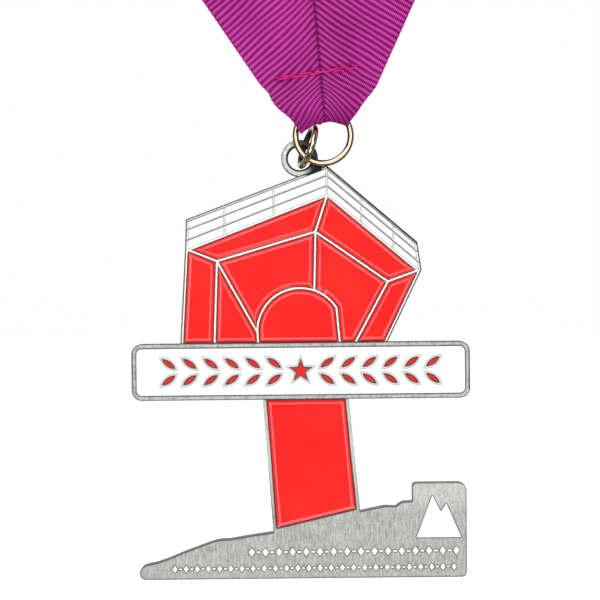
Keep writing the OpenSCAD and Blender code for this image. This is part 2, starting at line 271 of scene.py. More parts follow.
def cast_metal():
    """Brushed, speckled casting; each region of its face has its own finish, edges get painted shade, the
    back is plain.
    """
    n = Nodes("cast_metal")
    times, most, inverse = n.times, n.most, n.inverse
    place = n.coords()
    speck = n.noise(place, 2400, 4, 0.7)
    blotch = n.noise(place, 300, 3, 0.6)
    grain = n.noise(n.coords((3.0, 3.0, 0.5)), 800, 4, 0.65)
    brushed = n.noise(n.coords((2.0, 2.0, 0.35)), 1100, 3, 0.6)
    rounded = n.add("Bevel", Radius=0.00015, samples=6).outputs[0]
    worn = n.add("Bevel", Radius=0.0006, samples=8).outputs[0]
    rounded_y = n.part(rounded, 1)

    def tilted(normal, start, gain):
        """How far a surface leans away from the plate's face, 0 to 1."""
        facing = n.math("ABSOLUTE", n.part(normal, 1))
        return times(n.math("SUBTRACT", 1.0 - start, facing), gain, clamp=True)

    # regions of the tower, the column and the loop
    face = Face(n, place)
    roofed = face.roof()
    tower = face.over(BANNER_TOP, 0.2)
    polished = times(tower, inverse(roofed))
    railing = times(roofed, face.over(20.0))
    # painted shadow under each rail and inside the railing's top edge
    rail_shadows = times(face.rail_shadows(), railing)
    column = face.over(-34.5, 3.0)
    loop = times(face.over(47.0), inverse(face.beyond(face.x, face.home_x + 5.4)))
    loop_middle = face.home_x + 0.35 * (face.home_z + LOOP_C[2])
    # mask for the painted shade over the right side of the loop
    loop_side_shade = face.beyond(n.math("ADD", face.x, times(face.z, 0.35)), loop_middle + 0.2, 2.0)

    # how far outside the tower's outline a point is, and the painted shade line along that outline
    left_wall = n.math("MINIMUM", face.outside(RAIL_L, EAVE_L), face.outside(EAVE_L, FOOT_L))
    right_wall = most(face.outside(FOOT_R, EAVE_R), face.outside(EAVE_R, RAIL_R))
    top_right = face.outside(RAIL_R, APEX)
    past = most(most(left_wall, right_wall), most(face.outside(APEX, RAIL_L), top_right))
    above = times(tower, inverse(face.beyond(past, 0.03, 0.05)))
    rim_shade_line = times(face.beyond(past, -0.40, 0.10), above)
    # painted shade, heavier along the upper right edge
    heavy_shade_line = times(face.beyond(top_right, -0.52, 0.12), above)

    # the loop's hole and rim, with painted shade round both
    from_loop = n.vector("SUBTRACT", place, at(*LOOP_C)).outputs[0]
    from_hole = n.vector("LENGTH", n.vector("MULTIPLY", from_loop, (1, 0, 1)).outputs[0]).outputs[1]
    hole_rim_shade = inverse(face.beyond(from_hole, LOOP_RI + 0.30, 0.30))
    loop_rim_shade = most(hole_rim_shade, face.beyond(from_hole, LOOP_RO - 0.24, 0.12))

    # the banner's frame and its inside
    across = n.math("ABSOLUTE", n.math("SUBTRACT", face.x, face.home_x * MM))
    up = n.math("ABSOLUTE", n.math("SUBTRACT", face.z, face.home_z * MM))
    in_banner = times(inverse(face.beyond(up, 5.2, 0.2)), inverse(face.beyond(across, 39.0, 0.2)))
    # painted shade at the banner's two ends
    banner_end_shade = times(face.beyond(across, 40.35, 0.15), inverse(face.beyond(up, 7.0, 0.1)))
    in_frame = inverse(face.beyond(up, 6.9, 0.1))

    # the base metal, then the finish of each region
    shade = n.ramp(speck, ((0.32, 0.13), (0.5, 0.32), (0.68, 0.54)))
    shade = n.mix(0.5, shade, n.ramp(grain, ((0.34, 0.10), (0.60, 0.50))))
    shade = n.mix(0.30, shade, n.ramp(blotch, ((0.3, 0.22), (0.7, 0.46))))
    shade = n.mix(times(column, 0.45), shade, n.ramp(speck, ((0.25, 0.34), (0.6, 0.62))))
    pits = n.ramp(n.noise(place, 1500, 3, 0.7), ((0.38, 0.42), (0.52, 1.0)))
    shade = n.mix(times(most(in_frame, loop), 0.7), shade, pits, "MULTIPLY")
    shade = n.mix(0.55, shade, n.ramp(brushed, ((0.30, 0.80), (0.65, 1.25))), "MULTIPLY")
    shade = n.mix(1.0, shade, 0.87, "MULTIPLY")
    shade = n.mix(times(in_banner, 0.8), shade, 0.62)
    shade = n.mix(times(polished, 0.95), shade, n.ramp(speck, ((0.25, 0.52), (0.6, 0.70))))
    shade = n.mix(times(railing, 0.85), shade, n.ramp(speck, ((0.34, 0.46), (0.62, 0.82))))
    shade = n.mix(times(loop, 0.75), shade, n.ramp(speck, ((0.30, 0.16), (0.5, 0.36), (0.64, 0.48))))
    # painted shade over the loop's right side
    shade = n.mix(times(times(loop, loop_side_shade), 0.95), shade, 0.02)

    # painted shade: dark where the surface leans into a cell or round an edge
    side = times(n.math("SUBTRACT", 0.12, n.math("ABSOLUTE", rounded_y)), 12.0, clamp=True)
    lean = times(tilted(rounded, 0.02, 6.0), n.math("MULTIPLY_ADD", side, -0.6, 1.0))
    fine_lines = most(railing, in_banner)
    shade = n.mix(times(lean, n.math("MULTIPLY_ADD", fine_lines, -0.45, 0.75)), shade, 0.06)
    calm = most(most(polished, fine_lines), times(inverse(in_frame), face.over(-30.0, 8.0)))
    broad_edge_shade = times(tilted(worn, 0.004, 24.0), inverse(calm))
    shade = n.mix(times(broad_edge_shade, n.math("MULTIPLY_ADD", side, -0.5, 0.88)), shade, 0.05)

    # the painted shade lines, on surfaces that look forward
    shade = n.mix(times(rail_shadows, 0.92), shade, 0.03)
    front = times(n.math("SUBTRACT", -0.3, rounded_y), 3.0, clamp=True)
    for mask, amount, dark in (
            (rim_shade_line, 0.92, 0.05), (heavy_shade_line, 0.95, 0.012), (times(loop, loop_rim_shade), 0.95, 0.015),
            (banner_end_shade, 0.6, 0.05)):
        shade = n.mix(times(times(mask, front), amount), shade, dark)

    # the plain back of the casting
    behind = times(n.part(n.add("TexCoord").outputs["Normal"], 1), 4.0, clamp=True)
    plain = n.ramp(speck, ((0.30, 0.58), (0.66, 0.92)))
    plain = n.mix(0.45, plain, n.ramp(grain, ((0.34, 0.50), (0.60, 0.95))))
    # painted shade on the back's edges, as on the face
    plain = n.mix(times(lean, 0.6), plain, 0.08)
    shade = n.mix(behind, shade, plain)
    tint = n.mix(1.0, shade, (0.99, 1.0, 0.95), "MULTIPLY")
    rough = n.math("ADD", times(speck, 0.25), 0.32)
    n.set(Base_Color=tint, Metallic=1.0, Roughness=rough)
    fine = n.bump(grain, 0.00005, 0.5, rounded)
    n.set(Normal=n.bump(speck, 0.00003, 0.6, fine))
    return n.mat


def ring_metal(name, node, rear_shade):
    """Polished wire with painted shade along the inside and outside of the ring and a painted highlight
    across its middle; the last argument is how dark the painted shade on its far half is.
    """
    n = Nodes(name)
    place = n.coords()
    corners = np.array([v.co[:] for v in NODES[node].data.vertices])
    centre = (corners.min(0) + corners.max(0)) / 2
    spoke = n.vector("SUBTRACT", place, tuple(centre)).outputs[0]
    spoke = n.vector("NORMALIZE", n.vector("MULTIPLY", spoke, (1, 0, 1)).outputs[0]).outputs[0]
    facing = n.add("TexCoord").outputs["Normal"]
    outward = n.vector("DOT_PRODUCT", facing, spoke).outputs[1]
    # painted shade on the wire's inner and outer edges, painted highlight across its middle
    wire_shade_and_highlight = n.ramp(n.math("MULTIPLY_ADD", outward, 0.5, 0.5), (
        (0.0, (0.03, 0.012, 0.012)), (0.10, (0.05, 0.02, 0.018)), (0.17, (0.50, 0.36, 0.25)),
        (0.26, (1.0, 0.94, 0.86)), (0.60, (1.0, 0.98, 0.94)), (0.80, (0.76, 0.63, 0.47)),
        (0.93, (0.44, 0.33, 0.21)), (1.0, (0.28, 0.20, 0.12))))
    behind = n.math("SUBTRACT", n.part(place, 1), centre[1] + 0.3 * MM)
    far = n.times(behind, 1 / (1.1 * MM), clamp=True)
    haze = n.noise(place, 420, 2, 0.5)
    scratch = n.noise(n.coords((1, 1, 9)), 1600, 3, 0.6)
    tint = n.ramp(haze, ((0.3, (0.58, 0.49, 0.36)), (0.7, (0.74, 0.65, 0.51))))
    rough = n.math("ADD", n.times(scratch, 0.08), 0.08)
    tint = n.mix(1.0, tint, wire_shade_and_highlight, "MULTIPLY")
    # painted shade over the far half of the wire
    tint = n.mix(n.times(far, rear_shade), tint, (0.035, 0.033, 0.018))
    n.set(Base_Color=tint, Metallic=1.0, Roughness=rough, Normal=n.bump(scratch, 0.000004, 0.2))
    return n.mat


def red_enamel(name="red_enamel", depth=1.0):
    """Glossy red with painted shade close to its edge; depth widens that painted shade."""
    n = Nodes(name)
    place = n.coords()
    cloud = n.noise(place, 90, 2, 0.5)
    edge = n.attribute("edge")
    body = n.ramp(cloud, ((0.3, (0.90, 0.017, 0.016)), (0.7, (0.96, 0.023, 0.021))))
    # painted shade, darkest right at the edge
    rim = n.ramp(n.times(edge, 1.0 / depth), (
        (0.0, (0.08, 0.9, 1.0)), (0.12, (0.14, 1.0, 1.0)), (0.24, (0.52, 0.9, 0.9)),
        (0.42, (0.93, 0.95, 0.95)), (1.0, (1, 1, 1))))
    tint = n.mix(1.0, body, rim, "MULTIPLY")
    n.set(Base_Color=tint, Roughness=0.08, IOR=1.5, Specular_IOR_Level=0.42)
    n.set(Normal=n.bump(n.noise(place, 160, 2, 0.5), 0.00006, 0.25))
    return n.mat


def white_enamel(name="white_enamel", shaded_edge=True):
    """White, with painted shade close to its edge where asked for."""
    n = Nodes(name)
    place = n.coords()
    cloud = n.noise(place, 120, 2, 0.5)
    body = n.ramp(cloud, ((0.3, (0.90, 0.91, 0.91)), (0.7, (0.96, 0.965, 0.96))))
    if shaded_edge:
        # painted shade along the edge
        stops = ((0.0, (0.30, 0.31, 0.32)), (0.07, (0.62, 0.63, 0.65)), (0.16, (1, 1, 1)))
        rim = n.ramp(n.attribute("edge"), stops)
        body = n.mix(1.0, body, rim, "MULTIPLY")
    n.set(Base_Color=body, Roughness=0.22, IOR=1.5)
    n.set(Normal=n.bump(n.noise(place, 300, 2, 0.5), 0.00003, 0.3))
    return n.mat


WARP = 0.43  # width of one warp thread and its gap, in millimetres


def ribbon_cloth():
    """Grosgrain: the stored rib shade (painted highlight and painted shade), warp threads across the ribs,
    fuzz, and a slow drift of colour.
    """
    n = Nodes("ribbon")
    rib = n.attribute("rib")
    across = n.attribute("across")
    wave = n.math("SINE", n.times(across, 2 * math.pi / WARP))
    warp = n.math("ADD", n.times(wave, 0.5), 0.5)
    fuzz = n.noise(n.coords(), 5200, 3, 0.7)
    spread = n.noise(n.coords(), 60, 2, 0.5)
    # painted highlight on the ribs and painted shade in the grooves, seam, needle dents and by the hem, all
    # from rib
    tone = n.math("ADD", n.times(rib, 0.60), n.times(warp, 0.40))
    tone = n.math("ADD", tone, n.times(fuzz, 0.24))
    tone = n.math("ADD", tone, n.math("MULTIPLY_ADD", spread, 0.30, -0.21))
    tint = n.ramp(tone, (
        (0.12, (0.050, 0.0002, 0.024)), (0.40, (0.17, 0.003, 0.095)), (0.70, (0.41, 0.026, 0.250)),
        (1.0, (0.72, 0.090, 0.48))))
    n.set(Base_Color=tint, Roughness=0.72, Sheen_Weight=0.03, Sheen_Roughness=0.4, Specular_IOR_Level=0.10)
    height = n.math("ADD", n.times(warp, 0.7), n.times(fuzz, 0.5))
    n.set(Normal=n.bump(height, 0.00008, 0.9))
    return n.mat


def thread_cloth():
    """Pink sewing thread, with painted shade on the back of each ply."""
    n = Nodes("thread")
    ply_shade = n.attribute("ply_shade")
    fuzz = n.noise(n.coords(), 6000, 3, 0.7)
    tone = n.math("ADD", n.times(ply_shade, 0.7), n.times(fuzz, 0.4))
    tint = n.ramp(tone, ((0.2, (0.20, 0.002, 0.05)), (0.75, (0.80, 0.012, 0.22))))
    n.set(Base_Color=tint, Roughness=0.5, Specular_IOR_Level=0.25)
    n.set(Normal=n.bump(fuzz, 0.00003, 0.6))
    return n.mat


METAL = cast_metal()
# the last argument is the painted shade on each ring's far half
RINGS = {
    "large_ring": ring_metal("large_ring_wire", "large_ring", 0.0),
    "link_ring": ring_metal("link_ring_wire", "link_ring", 0.9)}
RED = red_enamel()
RED_SMALL = red_enamel("red_enamel_small", 1.5)
WHITE = white_enamel()
WHITE_PAINT = white_enamel("white_paint", shaded_edge=False)
CLOTH = ribbon_cloth()
THREAD = thread_cloth()


# ---------------------------------------------------------------- mesh helpers
def new_piece(name, points, faces, material, body, smooth=True):
    """A mesh object from points in metres, ridden on its body."""
    mesh = bpy.data.meshes.new(name)
    mesh.from_pydata([tuple(p) for p in points], [], faces)
    mesh.update()
    mesh.polygons.foreach_set("use_smooth", [smooth] * len(mesh.polygons))
    mesh.materials.append(material)
    piece = bpy.data.objects.new(name, mesh)
    bpy.context.scene.collection.objects.link(piece)
    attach(piece, body)
    return piece


def point_values(piece, name, values):
    """Stores one number a vertex, for the material to read."""
    store = piece.data.attributes.new(name, "FLOAT", "POINT")
    store.data.foreach_set("value", [float(v) for v in values])


# ---------------------------------------------------------------- enamel
SAME_POINT = 0.004  # points of a CAD mesh nearer than this are one point
RIM_ROWS = (0.12, 0.26, 0.42, 0.6, 0.78, 0.92, 1.06, 1.25)  # rows of points beside the rim, in rim widths
PROUD = 0.06  # how far the rim stands in front of the CAD fill's face
CREEP = 1.5  # power of the curve by which the surface rises to its rim
SHARP = 50  # degrees between two faces above which their edge is drawn sharp


def front_loops(node):
    """The outlines of a CAD fill's front face, as closed lists of (x, z), and its front and back depth."""
    mesh = NODES[node].data
    mesh.calc_loop_triangles()
    points = np.array([v.co[:] for v in mesh.vertices])
    points = (points - np.array(HOME)) / MM
    front, back = points[:, 1].min(), points[:, 1].max()
    label = list(range(len(points)))
    for i in range(1, len(points)):
        twins = np.nonzero(np.abs(points[:i] - points[i]).max(1) < SAME_POINT)[0]
        if len(twins):
            label[i] = label[twins[0]]
    used = set()
    for tri in mesh.loop_triangles:
        ids = list(tri.vertices)
        if abs(points[ids][:, 1] - front).max() > 1e-3:
            continue
        ids = [label[i] for i in ids]
        used.update(zip(ids, ids[1:] + ids[:1]))
    follow = {a: b for (a, b) in used if a != b and (b, a) not in used}
    loops = []
    while follow:
        start = next(iter(follow))
        loop, p = [], start
        while p in follow:
            loop.append(points[p][[0, 2]])
            p = follow.pop(p)
        loops.append(np.array(loop))
    return loops, front, back


def segments(loops):
    """The first and last point of every segment of the outlines."""
    a = np.concatenate(loops)
    b = np.concatenate([np.roll(loop, -1, axis=0) for loop in loops])
    return a, b


def edge_distance(points, a, b):
    """How far each point is from the nearest outline segment."""
    d = b - a
    length = np.maximum((d ** 2).sum(1), 1e-12)
    best = np.full(len(points), 1e9)
    for i in range(0, len(points), 2000):
        p = points[i:i + 2000, None, :]
        t = np.clip(((p - a) * d).sum(2) / length, 0, 1)
        gap = np.linalg.norm(p - (a + t[..., None] * d), axis=2)
        best[i:i + 2000] = gap.min(1)
    return best


def inside(points, a, b):
    """Even-odd test of points against the outline segments."""
    x, z = points[:, 0, None], points[:, 1, None]
    crosses = (a[:, 1] > z) != (b[:, 1] > z)
    with np.errstate(divide="ignore", invalid="ignore"):
        at_x = a[:, 0] + (z - a[:, 1]) * (b[:, 0] - a[:, 0]) / (b[:, 1] - a[:, 1])
    return (np.where(crosses, at_x > x, False).sum(1) % 2) == 1


def divided(loop, step):
    """The outline with every long segment cut into equal parts, none shorter than step."""
    dense = []
    for p, q in zip(loop, np.roll(loop, -1, axis=0)):
        parts = max(1, int(np.linalg.norm(q - p) / step))
        dense += [p + (q - p) * k / parts for k in range(parts)]
    return np.array(dense)


def rows_beside(outline, rim_width, a, b):
    """Rows of points inside a fill, along one of its outlines and nowhere nearer to another part of them."""
    along = np.roll(outline, -1, axis=0) - np.roll(outline, 1, axis=0)
    length = np.maximum(np.linalg.norm(along, axis=1), 1e-9)
    normal = np.stack([along[:, 1], -along[:, 0]], 1) / length[:, None]
    rows = []
    for r in (rim_width * f for f in RIM_ROWS):
        for sign in (1, -1):
            row = outline + sign * normal * r
            rows.append(row[inside(row, a, b) & (edge_distance(row, a, b) > 0.93 * r)])
    return rows


def middle_grid(rim_width, step, a, b):
    """A coarse grid of points for the flat middle of a fill."""
    low_c, high_c = a.min(0), a.max(0)
    coarse = max(step * 2.2, 0.8 * rim_width)
    gx, gz = np.meshgrid(np.arange(low_c[0], high_c[0], coarse), np.arange(low_c[1], high_c[1], coarse))
    grid = np.stack([gx.ravel(), gz.ravel()], 1)
    grid = grid[inside(grid, a, b)]
    return grid[edge_distance(grid, a, b) > 1.35 * rim_width]


def triangulated(outlines, more, a, b):
    """Points in the plane and the triangles, turned to look at -Y, that fill the outlines."""
    edges, start = [], 0
    for loop in outlines:
        n = len(loop)
        edges += [(start + i, start + (i + 1) % n) for i in range(n)]
        start += n
    points = [Vector(p) for p in np.concatenate(outlines + more)]
    out = delaunay_2d_cdt(points, edges, [], 0, 1e-5)
    flat = np.array([v[:] for v in out[0]])
    tris = [f for f in out[2] if len(f) == 3]
    mids = np.array([flat[list(f)].mean(0) for f in tris])
    faces = []
    for t in (f for f, kept in zip(tris, inside(mids, a, b)) if kept):
        p, q, r = (flat[i] for i in t)
        turn = (q[0] - p[0]) * (r[1] - p[1]) - (q[1] - p[1]) * (r[0] - p[0])
        faces.append(tuple(t) if turn > 0 else tuple(reversed(t)))
    return flat, faces


def add_walls(points, faces, flat, back):
    """Walls from the border of the faces to the back depth; the back stays open, hidden in the cell."""
    seen = set()
    for t in faces:
        seen.update(zip(t, t[1:] + t[:1]))
    border = [(p, q) for p, q in seen if (q, p) not in seen]
    under = {}
    for p, q in border:
        for v in (p, q):
            if v not in under:
                under[v] = len(points)
                points.append(at(flat[v][0], back, flat[v][1]))
        faces.append((q, p, under[p], under[q]))


def enamel(node, material, rise, rim_width, step):
    """A fill whose surface creeps up its walls: rise is how far the rim stands above the flat middle."""
    loops, front, back = front_loops(node)
    a, b = segments(loops)
    outlines = [divided(loop, step) for loop in loops]
    more = [row for outline in outlines for row in rows_beside(outline, rim_width, a, b)]
    flat, faces = triangulated(outlines, more + [middle_grid(rim_width, step, a, b)], a, b)
    gap = edge_distance(flat, a, b)
    inward = np.clip(gap / rim_width, 0, 1)
    depth = front - PROUD + rise * (1 - (1 - inward) ** CREEP)
    points = [at(x, y, z) for (x, z), y in zip(flat, depth)]
    add_walls(points, faces, flat, back)
    piece = new_piece(node + "_fill", points, faces, material, "medal")
    point_values(piece, "edge", list(gap) + [0.0] * (len(points) - len(gap)))
    mark_sharp(piece, SHARP)
    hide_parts(node)


def mark_sharp(piece, degrees):
    """Draws every edge sharp that turns by more than this."""
    with_edges = bmesh.new()
    with_edges.from_mesh(piece.data)
    for e in with_edges.edges:
        if len(e.link_faces) == 2 and e.calc_face_angle(0) > math.radians(degrees):
            e.smooth = False
    with_edges.to_mesh(piece.data)
    with_edges.free()


def recoat(name, material):
    """Keeps a CAD node's mesh and gives it this material alone."""
    NODES[name].data.materials.clear()
    NODES[name].data.materials.append(material)


RED_CELLS = (
    "roof_left", "roof_right", "strip_left", "gusset_left", "wall_left", "wall_right", "strip_right", "arch",
    "column")
# each fill's rise, rim width and step along its outline, in millimetres
for cell in RED_CELLS:
    enamel("enamel_" + cell, RED, 0.34, 1.30, 0.55)
for side in ("left", "right"):
    enamel("railing_" + side, WHITE, 0.16, 0.55, 0.5)
enamel("banner_field", WHITE, 0.14, 0.7, 0.5)
enamel("banner_garland", RED_SMALL, 0.14, 0.4, 0.25)

for name in ("ground_marks", "ground_emblem"):
    recoat(name, WHITE_PAINT)
recoat("medal_body", METAL)
for name, wire in RINGS.items():
    recoat(name, wire)
    NODES[name].data.polygons.foreach_set("use_smooth", [True] * len(NODES[name].data.polygons))


# ---------------------------------------------------------------- ribbon
# Lengths from the seam's tip: x across, y back, z up the seam; s along a leg from the nape and v across it.
RIBBON_W = 25.0
HALF = 400.0  # length of one leg along its middle, from the nape to the seam
V_HALF = math.radians(29.3)  # between a leg and the seam
LEAN = math.radians(4.5)  # of the seam from upright
TIP = (7.7, -1.35, 44.0)  # the seam's tip before the end is gathered
POCKET = 2.15  # how far the cloth comes forward over the large ring
RIB = 1.34  # from one rib to the next
SKEW = 0.12  # how far the ribs of the worn part lie askew, along for each millimetre across
RIB_HEIGHT = 0.22
THICK = 0.44  # of the cloth
LIP = 0.34  # radius of the rolled hem
# the cone on which both legs lie, rolled out flat
CONE_A = math.asin((math.pi / 2 - V_HALF) / math.pi)  # between its axis and its side
PHI_V = math.pi / 2 - V_HALF  # turn from the nape to the seam, on the flat
CONE_D = HALF / math.tan(PHI_V)  # from the cone's point to a leg's middle, at the nape
CONE_TIP = (CONE_D + RIBBON_W / 2) / math.cos(PHI_V)  # from the cone's point to the seam's tip
# height of the gathered hem above the seam's tip, by distance from the seam
HEM = [
    (-9.5, 12.8), (-7.0, 13.0), (-6.2, 13.5), (-5.5, 14.3), (-4.3, 15.0), (-3.0, 15.75), (-2.4, 15.84),
    (-1.8, 15.8), (-1.2, 15.72), (-0.4, 16.15), (1.5, 16.2), (3.6, 15.5), (5.0, 14.9), (6.0, 14.7),
    (7.4, 15.1), (9.5, 15.6)]
# places of the needle's dents, x and z
NEEDLES = [(-10.4, 27.3), (-9.4, 27.1), (-7.6, 27.2), (-2.4, 28.2), (3.4, 28.6), (5.0, 28.5), (7.4, 28.9)]


def smooth(f):
    """An eased step from 0 to 1."""
    f = np.clip(f, 0, 1)
    return f * f * (3 - 2 * f)


def on_cone(turn, r):
    """Points of the worn ribbon's surface from the turn about the cone and the distance from its point."""
    s, c = math.sin(CONE_A), math.cos(CONE_A)
    x, y, z = r * s * np.sin(turn), r * s * np.cos(turn), -r * c
    return np.stack([x, y * c - z * s, y * s + z * c + CONE_TIP], 1)


def drawn_in(x, up, rim):
    """Where the cloth lies across once gathered: each side by its own share, with a notch on the left."""
    left = 1 - 0.14 * smooth((20.6 - up) / 4.2)
    right = 1 - 0.17 * smooth((24.0 - up) / 7.5) - 0.12 * smooth((17.6 - up) / 3.0)
    moved = x * np.where(x < 0, left, right)
    return moved + 0.55 * rim * (x < 0) * np.exp(-((up - 24.2) / 1.4) ** 2)


def bulge(x, up):
    """Added to y, so below 0 forward: over the large ring, in two waves, and over the link ring's wire."""
    front = -POCKET * smooth((26.5 - up) / 6.0)
    front -= 0.22 * np.sin(x * 0.95 + 0.9) * smooth((25.0 - up) / 8.0)
    front -= 0.16 * np.sin(x * 0.55 + up * 0.33) * smooth((45.0 - up) / 12.0)
    return front - 0.35 * np.exp(-((x + 2.45) / 1.5) ** 2) * smooth((19.0 - up) / 3.5)


def gathered(p):
    """The sewn end: pulled up at the seam, drawn in, bulged over the large ring, rolled under at the hem."""
    x, y, z = p.T.copy()
    near = (y < 8) & (z < 60)
    width = 2.8 + 2.4 * smooth((29.0 - z) / 11.0)
    lift = 0.9 * smooth((60 - z) / 8) + 2.8 * smooth((28.0 - z) / 13.0)
    up = z + lift * np.exp(-(np.abs(x) / width) ** 1.2)
    rim = np.clip((np.abs(x) - 0.5612 * z + 5) / 5, 0, 1) ** 2
    new_x = drawn_in(x, up, rim)
    # below the hem's line the cloth rolls under and goes up behind
    hem = np.interp(new_x, *zip(*HEM))
    under = np.maximum(hem - up, 0)
    roll = np.minimum(under / LIP, math.pi)
    behind = np.maximum(under - math.pi * LIP, 0)
    new_y = y + bulge(new_x, up) + LIP * (1 - np.cos(roll))
    new_z = np.where(under > 0, hem - LIP * np.sin(roll) + behind, up)
    dent = sum(np.exp(-((new_x - a) ** 2 + (up - b) ** 2) / 0.3) for a, b in NEEDLES)
    new_y = new_y + 0.3 * dent
    x[near], y[near], z[near] = new_x[near], new_y[near], new_z[near]
    # painted shade in the needle dents and painted shadow on the cloth just above the hem
    shadow = 0.30 * smooth((1.7 - (up - hem)) / 1.7)
    return np.stack([x, y, z], 1), np.where(near, np.minimum(dent + shadow, 1), 0)


def from_tip(p):
    """From the seam's tip, leaning, to the row frame in metres."""
    c, s = math.cos(LEAN), math.sin(LEAN)
    x = TIP[0] + p[:, 0] * c - p[:, 2] * s
    z = TIP[2] + p[:, 0] * s + p[:, 2] * c
    return np.stack([x, TIP[1] + p[:, 1], z], 1) * MM + np.array(HOME)


def rib_profile(s, v):
    """0 in the grooves and 1 on the ribs, with the small unevenness of weaving."""
    drift = 0.10 * np.sin(s * 0.61 + v * 0.23) + 0.08 * np.sin(s * 0.27 - v * 0.41 + 1.3)
    drift = drift + 0.05 * np.sin(s * 1.9 + v * 0.9)
    return (0.5 + 0.5 * np.cos(2 * math.pi * (s + drift) / RIB)) ** 0.8


def normals_of(points, faces):
    """Area-weighted vertex normals."""
    tris = np.array([(f[0], f[k], f[k + 1]) for f in faces for k in range(1, len(f) - 1)])
    a, b, c = points[tris[:, 0]], points[tris[:, 1]], points[tris[:, 2]]
    each = np.cross(b - a, c - a)
    total = np.zeros_like(points)
    for k in range(3):
        np.add.at(total, tris[:, k], each)
    return total / np.maximum(np.linalg.norm(total, axis=1), 1e-12)[:, None]


def thick_sheet(mid, faces, half):
    """Two faces of a closed sheet about a middle surface, with walls round its open edge."""
    normal = normals_of(mid, faces)
    n = len(mid)
    run = set()
    for f in faces:
        run.update(zip(f, f[1:] + f[:1]))
    out = [list(f) for f in faces] + [[i + n for i in reversed(f)] for f in faces]
    out += [[q, p, p + n, q + n] for p, q in run if (q, p) not in run]
    return np.concatenate([mid + normal * half[:, None], mid - normal * half[:, None]]), out


NAPE_STEP, NAPE_COLS = RIB / 4, 8  # how finely a leg is divided from the nape down
END_ZONES = [(51.0, RIB / 6, 24), (40.0, RIB / 6, 48)]  # length, step and columns of its last two zones


def flat_leg(side):
    """One leg of the strip laid flat, s along and v across, cut along the mitre and past the fold."""
    grid = bmesh.new()
    start, rows = 0.0, []
    total = (CONE_D + RIBBON_W / 2) * math.tan(PHI_V) + 1
    nape_length = total - sum(zone[0] for zone in END_ZONES)
    for length, step, cols in [(nape_length, NAPE_STEP, NAPE_COLS)] + END_ZONES:
        count = round(length / step)
        across = np.linspace(-RIBBON_W / 2, RIBBON_W / 2, cols + 1)
        first = 1 if rows else 0
        for i in range(first, count + 1):
            rows.append([grid.verts.new((start + i * step, v, 0)) for v in across])
        start += count * step
    for low_row, high_row in zip(rows, rows[1:]):
        k = (len(high_row) - 1) // (len(low_row) - 1)
        for j in range(len(low_row) - 1):
            grid.faces.new([low_row[j]] + high_row[j * k:j * k + k + 1] + [low_row[j + 1]])
    apex = Vector((0, CONE_D, 0))
    seam = Vector((math.sin(PHI_V), -math.cos(PHI_V), 0))
    beyond = Vector((math.cos(PHI_V), math.sin(PHI_V), 0))
    slope = 0.30 if side > 0 else 0.0  # of the cut behind the hem
    cuts = [(apex, beyond), (apex + seam * (CONE_TIP - 10.4), (seam - beyond * slope).normalized())]
    for place, normal in cuts:
        geom = grid.verts[:] + grid.edges[:] + grid.faces[:]
        bmesh.ops.bisect_plane(grid, geom=geom, dist=1e-4, plane_co=place, plane_no=normal, clear_outer=True)
    grid.verts.index_update()
    flat = np.array([v.co[:2] for v in grid.verts])
    faces = [[v.index for v in f.verts] for f in grid.faces]
    grid.free()
    return flat, faces


def leg_ribs(s, v, side):
    """The ribs of a leg, square at the nape and askew towards the sewn end."""
    return rib_profile(s + SKEW * v * smooth(s / 250), v * side)


def leg(side):
    """One leg's points, faces, rib shade and distance across; side is -1 for the left and 1 for the right."""
    flat, faces = flat_leg(side)
    s, v = flat.T
    # each rib's end makes a small bump on the selvage
    bump = 0.13 * (leg_ribs(s, v, side) - 0.6)
    v = np.where(np.abs(v) > RIBBON_W / 2 - 0.05, v + np.sign(v) * bump, v)
    r = np.hypot(s, CONE_D - v)
    phi = np.arctan2(s, CONE_D - v)
    mid, dent = gathered(on_cone(phi / math.sin(CONE_A) * side, r))
    if side < 0:
        faces = [f[::-1] for f in faces]
    rib = leg_ribs(s, v, side)
    edge = np.clip((RIBBON_W / 2 - np.abs(v)) / 0.9, 0, 1)
    # both legs dip into the seam, where they are sewn together
    seam_gap = np.clip(r * np.sin(PHI_V - phi) / 0.6, 0, 1)
    mid[:, 1] += 0.5 * (1 - seam_gap) ** 2 * (phi > 0.5 * PHI_V)
    half = THICK / 2 + RIB_HEIGHT / 2 * (rib - 0.4) * (0.4 + 0.6 * edge)
    points, out = thick_sheet(mid, faces, half)
    # painted shade: dark in the seam's groove and in the needle dents, with the painted shadow above the hem
    shade = rib * (0.10 + 0.90 * np.clip(seam_gap * 0.9, 0, 1)) * np.clip(1 - 0.9 * dent, 0, 1)
    # painted shade on the lower lobes, darker towards the hem
    shade = shade * (1 - 0.38 * smooth((20.5 - mid[:, 2]) / 5))
    return from_tip(points), out, np.tile(shade, 2), np.tile(v, 2)


# the folded end's path, y, z and half width
FOLD = [
    (-1.75, 17.9, 3.8), (-1.5, 17.05, 3.8), (-0.8, 16.85, 3.8), (0.4, 16.8, 3.8), (1.8, 16.85, 3.8),
    (2.6, 17.3, 4.3), (2.95, 18.2, 5.2), (2.95, 20.4, 6.6), (2.1, 22.6, 7.6), (1.1, 25.2, 8.6),
    (0.8, 26.9, 9.2), (0.8, 32.0, 10.2)]
FOLD_MID = -0.6  # x of its middle
FOLD_STEP = 0.2
TAIL_COLS = 48


